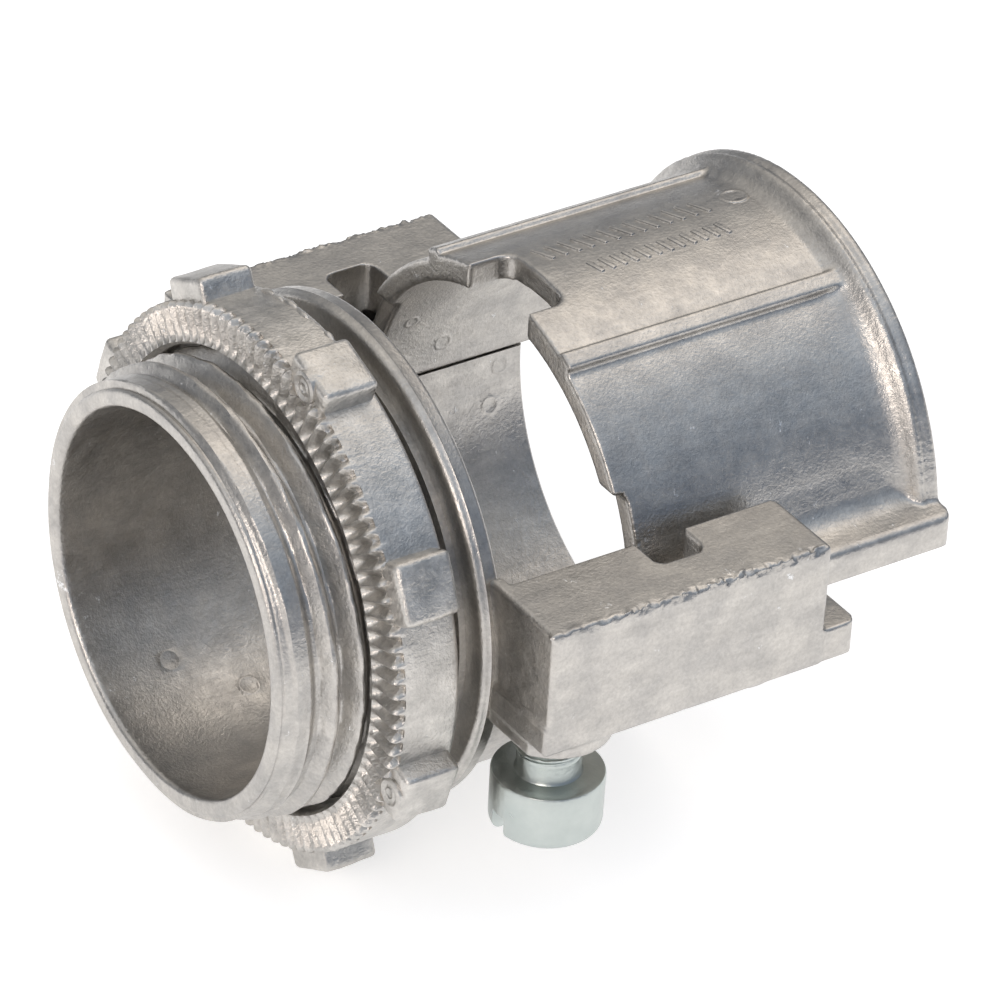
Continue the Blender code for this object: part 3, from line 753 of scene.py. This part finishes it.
FLOOR_HALF_SIZE = 2.5
FLOOR_GLOW = 0.53
LIGHT_TARGET = HUB + Vector((0.02, 0, 0))
LIGHT_DISTANCE = 0.60
CAMERA_TARGET = HUB + Vector((0.026, 0, 0))
CAMERA_DISTANCE = 0.416


def make_floor():
    """White table that glows a little, so that its shadows stay faint."""
    bm = bmesh.new()
    bmesh.ops.create_grid(bm, x_segments=1, y_segments=1, size=FLOOR_HALF_SIZE)
    bmesh.ops.translate(bm, verts=bm.verts, vec=(0, 0, cad_low[2] - 0.02 * MM))
    floor = mesh_object("studio_floor", bm)
    material = bpy.data.materials.new("white_studio_floor")
    material.use_nodes = True
    shader = material.node_tree.nodes["Principled BSDF"]
    shader.inputs["Base Color"].default_value = linear("#F4F3F2")
    shader.inputs["Roughness"].default_value = 0.9
    shader.inputs["Specular IOR Level"].default_value = 0.1
    shader.inputs["Emission Color"].default_value = linear("#FFFFFF")
    shader.inputs["Emission Strength"].default_value = FLOOR_GLOW
    floor.data.materials.append(material)


def softbox(name, direction, size, power, colour):
    """Square area light that looks at the object from a direction."""
    light = bpy.data.lights.new(name, "AREA")
    light.shape = "SQUARE"
    light.size = size
    light.energy = power
    light.color = linear(colour)[:3]
    lamp = bpy.data.objects.new(name, light)
    direction = Vector(direction).normalized()
    lamp.location = LIGHT_TARGET + direction * LIGHT_DISTANCE
    lamp.rotation_mode = "QUATERNION"
    lamp.rotation_quaternion = direction.to_track_quat("Z", "Y")
    bpy.context.scene.collection.objects.link(lamp)


def make_room():
    """World that is dim and bluish at the horizon, brighter overhead and cooler on the near side."""
    world = bpy.data.worlds.new("studio_room")
    bpy.context.scene.world = world
    world.use_nodes = True
    tree = world.node_tree
    background = tree.nodes["Background"]
    way = add_node(tree, "ShaderNodeTexCoord").outputs["Generated"]
    parts = add_node(tree, "ShaderNodeSeparateXYZ", {"Vector": way}).outputs
    sky = add_node(tree, "ShaderNodeValToRGB", {"Fac": parts["Z"]})
    stops = sky.color_ramp.elements
    stops[0].position, stops[0].color = 0.10, (0.10, 0.125, 0.17, 1.0)
    stops[1].position, stops[1].color = 0.95, (0.95, 0.94, 0.92, 1.0)
    middle = stops.new(0.50)
    middle.color = (0.48, 0.49, 0.50, 1.0)
    turn = add_node(tree, "ShaderNodeMapRange", {
        "Value": parts["Y"], "From Min": -0.6, "From Max": 0.4}).outputs[0]
    tint = add_node(tree, "ShaderNodeMix", {
        MIX_SHARE: turn, MIX_A: (0.80, 0.92, 1.10, 1.0), MIX_B: (1.03, 1.0, 0.97, 1.0)}, data_type="RGBA")
    tinted = add_node(tree, "ShaderNodeMix", {
        MIX_SHARE: 1.0, MIX_A: sky.outputs[0], MIX_B: tint.outputs[MIX_RESULT]},
        data_type="RGBA", blend_type="MULTIPLY")
    tree.links.new(tinted.outputs[MIX_RESULT], background.inputs["Color"])
    background.inputs["Strength"].default_value = 1.0


def make_camera():
    """Long lens from the front left, 33 degrees above the table, rolled 3.8 degrees."""
    azimuth, elevation, roll = math.radians(234.072), math.radians(33.02), math.radians(3.826)
    back = Vector((math.cos(elevation) * math.cos(azimuth), math.cos(elevation) * math.sin(azimuth),
                   math.sin(elevation)))
    right = Vector((0, 0, 1)).cross(back).normalized()
    up = back.cross(right)
    rolled_right = math.cos(roll) * right + math.sin(roll) * up
    rolled_up = math.cos(roll) * up - math.sin(roll) * right
    data = bpy.data.cameras.new("studio_camera")
    data.lens = 259.9
    data.sensor_width = 36.0
    data.shift_x = -0.0505
    data.shift_y = -0.0199
    data.clip_start = 0.05
    data.clip_end = 20.0
    camera = bpy.data.objects.new("studio_camera", data)
    spot = CAMERA_TARGET + back * CAMERA_DISTANCE
    camera.matrix_world = Matrix((
        (rolled_right.x, rolled_up.x, back.x, spot.x),
        (rolled_right.y, rolled_up.y, back.y, spot.y),
        (rolled_right.z, rolled_up.z, back.z, spot.z),
        (0, 0, 0, 1)))
    bpy.context.scene.collection.objects.link(camera)
    bpy.context.scene.camera = camera


# ---------------------------------------------------------------- the object

body_zinc = die_cast_zinc("die_cast_zinc", "#CBC7C1", "#B8B5B1", 0.36, 2.0, 0.045)
# The locknut gets a lighter copy of the body's zinc colours: painted light that lifts the shade its teeth and
# lugs cast on it.
nut_zinc_lightened = die_cast_zinc("die_cast_zinc_locknut", "#DAD6D0", "#BBB8B3", 0.40, 1.6, 0.070)
plated = zinc_plated_steel()

finish_piece(make_socket(), body_zinc, "body", "zinc_casting", "body")
finish_piece(make_hub(), body_zinc, "body", "zinc_casting")
finish_piece(make_block(-1, "near"), body_zinc, "body", "zinc_casting", sharp=0)
finish_piece(make_block(1, "far"), body_zinc, "body", "zinc_casting", sharp=0)
finish_piece(make_saddle(), body_zinc, "saddle", "zinc_casting", "saddle", sharp=0)
finish_piece(make_locknut(), nut_zinc_lightened, "locknut", "zinc_locknut", "locknut", sharp=45)
for label in ("near", "far"):
    node = "clamp_screw_" + label
    finish_piece(make_screw(node, "screw_" + label), plated, label + "_screw", "plated_steel", node)

make_floor()
make_room()
softbox("overhead_softbox", (0.45, 0.12, 0.88), size=0.40, power=0.45, colour="#FFF1E2")
softbox("front_left_softbox", (-0.68, -0.49, 0.43), size=0.30, power=1.2, colour="#FFF2E6")
make_camera()
bpy.context.scene.view_settings.view_transform = "Standard"
